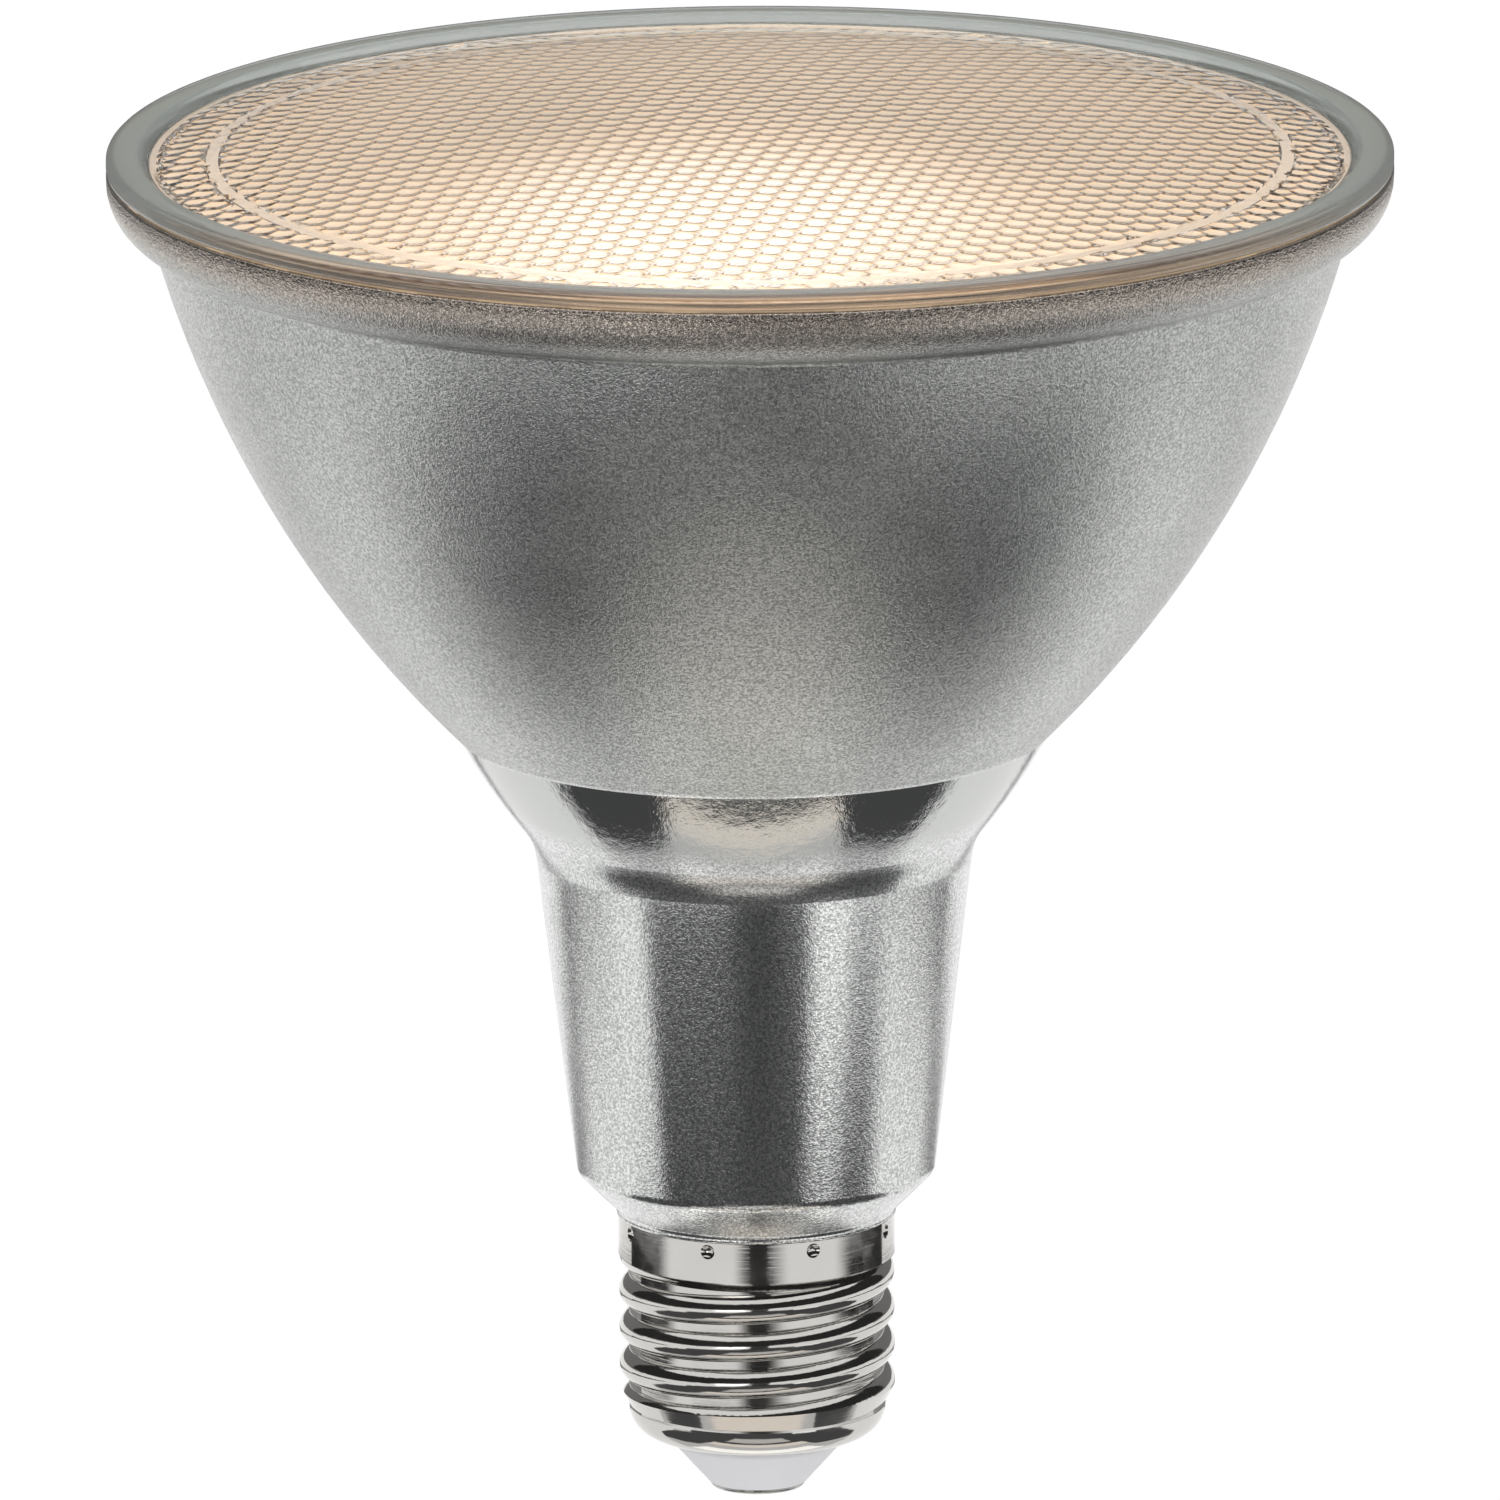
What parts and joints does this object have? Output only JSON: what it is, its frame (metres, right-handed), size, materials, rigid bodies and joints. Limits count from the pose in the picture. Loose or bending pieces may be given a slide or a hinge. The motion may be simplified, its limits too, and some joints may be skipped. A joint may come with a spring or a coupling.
{
  "type": "reflector spotlight lamp",
  "caption": "Glass reflector spotlight lamp: silvered bowl and tapered neck, domed lens with honeycomb lenslets, light board and driver inside, round-thread screw base.",
  "frame": {"origin": "middle of the centre contact's underside, on the lamp's axis", "axes": "+Z along the lamp's axis from the contact to the lens; -Y is the side the picture looks at"},
  "size_m": [0.122, 0.122, 0.133],
  "materials": {
    "lens_glass": "clear pressed glass, smooth outside",
    "clear_silicone": "satin",
    "silvered_glass": "silvered glass with a fine stipple",
    "nickelled_sheet": "polished nickel",
    "cement": "matt",
    "white_insulator": "matt white",
    "contact_metal": "dull metal",
    "turned_aluminium": "turned",
    "white_board": "white coat on metal core",
    "light_source": "yellow phosphor",
    "screw_steel": "zinc plated",
    "sleeve_plastic": "moulded",
    "green_board": "lacquered fibre board",
    "film_box": "moulded",
    "black_case": "moulded",
    "can_sleeve": "shrunk film",
    "ferrite": "ground",
    "winding_tape": "tape",
    "resistor_body": "lacquered",
    "brown_lead": "insulated",
    "blue_lead": "insulated",
    "black_lead": "insulated",
    "red_lead": "insulated"
  },
  "bodies": {
    "root": {"front_lens": "lens_glass", "rim_seal": "clear_silicone", "reflector": "silvered_glass", "screw_shell": "nickelled_sheet", "base_cement": "cement", "base_insulator": "white_insulator", "centre_contact": "contact_metal", "heat_spreader": "turned_aluminium", "spreader_bond": "clear_silicone", "led_board": "white_board", "board_screws": "screw_steel", "driver_sleeve": "sleeve_plastic", "driver_board": "green_board", "filter_capacitor": "film_box", "filter_choke": "black_case", "storage_capacitor": "can_sleeve", "output_capacitor": "can_sleeve", "transformer_core": "ferrite", "transformer_winding": "winding_tape", "fuse_resistor": "resistor_body", "bridge_rectifier": "black_case", "driver_chip": "black_case", "live_lead": "brown_lead", "neutral_lead": "blue_lead", "led_lead_left": "black_lead", "led_lead_right": "red_lead", "led_01": "light_source", "led_02": "light_source", "led_03": "light_source", "led_04": "light_source", "led_05": "light_source", "led_06": "light_source", "led_07": "light_source", "led_08": "light_source", "led_09": "light_source", "led_10": "light_source", "led_11": "light_source", "led_12": "light_source"}
  },
  "joints": []
}
